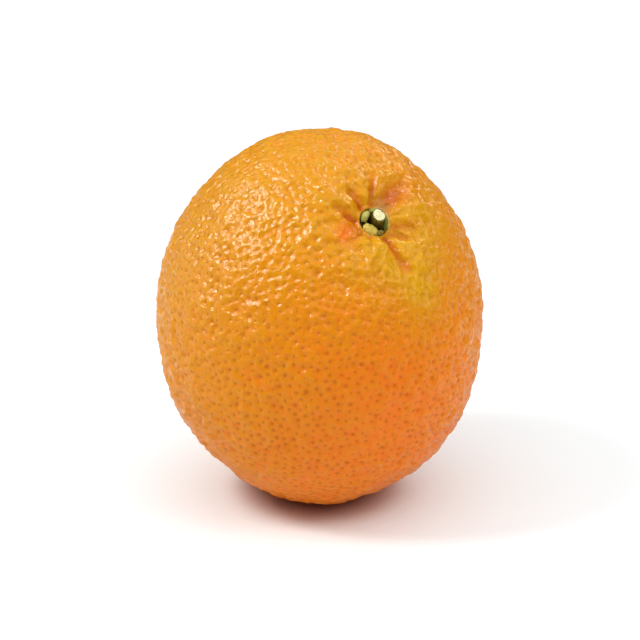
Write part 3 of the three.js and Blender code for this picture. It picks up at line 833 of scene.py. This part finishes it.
# Painted shadow: where the fruit hides the sky within a few millimetres, the table's white is mixed to warm
# brown.
contact_occlusion = add_node(tree, "ShaderNodeAmbientOcclusion", {"Distance": CONTACT_SHADOW_REACH * MM}, samples=4)
unshadowed_share = add_node(tree, "ShaderNodeMapRange", {
    "Value": contact_occlusion.outputs["AO"], "From Min": CONTACT_SHADOW_OPEN[0], "From Max": CONTACT_SHADOW_OPEN[1],
})
table_colour_with_painted_shadow = add_node(tree, "ShaderNodeMix", {0: unshadowed_share.outputs[0], 6: (0.5, 0.2, 0.1, 1),
                                                7: (0.9, 0.94, 0.95, 1)}, data_type="RGBA")
shader = add_node(tree, "ShaderNodeBsdfPrincipled", {
    "Base Color": table_colour_with_painted_shadow.outputs[2], "Roughness": 0.9, "Specular IOR Level": 0.1,
})
add_node(tree, "ShaderNodeOutputMaterial", {"Surface": shader.outputs[0]})
floor_mesh = bpy.data.meshes.new("table")
floor_corners = [(x * FLOOR_HALF, y * FLOOR_HALF, 0) for x, y in ((-1, -1), (1, -1), (1, 1), (-1, 1))]
floor_mesh.from_pydata(floor_corners, [], [(0, 1, 2, 3)])
floor_mesh.materials.append(table_paint)
floor = bpy.data.objects.new("table", floor_mesh)
bpy.context.collection.objects.link(floor)

# The light: a white room, dark near the level and brighter on the right and in front, and a softbox
# high on the left. Three bright panes and a wide dim sheet are seen in gloss alone and light nothing
# else. A white wall on the right lights what is dull and isn't seen in gloss.
HORIZON_STRENGTH = 0.02
HORIZON_TOP = 0.15  # as the sine of the angle above the level
CEILING_STRENGTH = 1.14
CEILING_START = 0.6  # as the sine of the angle, from which the room has its full strength
RIGHT_SHARE = 0.45
FRONT_SHARE = 0.25
LAMPS_AIM = Vector((0, 0, 0.043))
# Each lamp: the way to it, how far it is, its width and height in metres, its watts, and what
# shows its light.
LAMPS = [
    ("softbox", (-0.655, -0.169, 0.74), 0.7, 0.2, 0.26, 2.4, "both"),
    ("left_pane", (-0.655, -0.169, 0.74), 0.69, 0.27, 0.33, 9.25, "gloss"),
    ("left_sheet", (-0.85, 0.05, 0.52), 1.0, 1.1, 1.1, 9.0, "gloss"),
    ("right_pane", (0.66, -0.40, 0.63), 0.7, 0.12, 0.12, 1.2, "gloss"),
    ("back_pane", (0.42, 0.51, 0.75), 0.7, 0.14, 0.14, 1.4, "gloss"),
    ("white_wall", (0.78, -0.42, 0.72), 0.7, 0.3, 0.26, 0.85, "dull"),
]
room = bpy.data.worlds.new("white_room")
room.use_nodes = True
tree = room.node_tree
looking = add_node(tree, "ShaderNodeTexCoord")
sides = add_node(tree, "ShaderNodeSeparateXYZ", {0: looking.outputs["Generated"]})
upwards = add_node(tree, "ShaderNodeMapRange", {"Value": sides.outputs["Z"], "From Min": HORIZON_TOP,
                                                "From Max": CEILING_START, "To Min": HORIZON_STRENGTH,
                                                "To Max": CEILING_STRENGTH})
rightwards = add_node(tree, "ShaderNodeMath", {0: sides.outputs["X"], 1: RIGHT_SHARE, 2: 1.0},
                      operation="MULTIPLY_ADD")
forwards = add_node(tree, "ShaderNodeMath", {
    0: sides.outputs["Y"], 1: -FRONT_SHARE, 2: rightwards.outputs[0],
}, operation="MULTIPLY_ADD")
strength = add_node(tree, "ShaderNodeMath", {0: upwards.outputs[0], 1: forwards.outputs[0]},
                    operation="MULTIPLY")
tree.nodes["Background"].inputs["Color"].default_value = (1, 1, 1, 1)
tree.links.new(strength.outputs[0], tree.nodes["Background"].inputs["Strength"])
bpy.context.scene.world = room
for name, way, far, wide, high, power, seen_in in LAMPS:
    way = Vector(way).normalized()
    lamp_data = bpy.data.lights.new(name, "AREA")
    lamp_data.shape = "RECTANGLE"
    lamp_data.size, lamp_data.size_y = wide, high
    lamp_data.energy = power
    lamp = bpy.data.objects.new(name, lamp_data)
    lamp.location = LAMPS_AIM + way * far
    lamp.rotation_euler = way.to_track_quat("Z", "Y").to_euler()
    lamp.visible_diffuse = seen_in != "gloss"
    lamp.visible_glossy = seen_in != "dull"
    bpy.context.collection.objects.link(lamp)
bpy.context.scene.view_settings.view_transform = "Standard"

# The camera: 20 degrees above the level, 62 centimetres from the middle of the fruit, with a long
# lens, as the outline and the stalk's place in the photo ask.
CAMERA_ELEVATION = math.radians(20)
CAMERA_DISTANCE = 0.62  # metres
CAMERA_LENS = 149.7
CAMERA_TARGET = Vector((-0.0001, -0.0001, 0.0427))
camera_data = bpy.data.cameras.new("camera")
camera_data.lens = CAMERA_LENS
camera_back = Vector((0, -math.cos(CAMERA_ELEVATION), math.sin(CAMERA_ELEVATION)))
camera = bpy.data.objects.new("camera", camera_data)
camera.location = CAMERA_TARGET + camera_back * CAMERA_DISTANCE
camera.rotation_euler = camera_back.to_track_quat("Z", "Y").to_euler()
bpy.context.collection.objects.link(camera)
bpy.context.scene.camera = camera
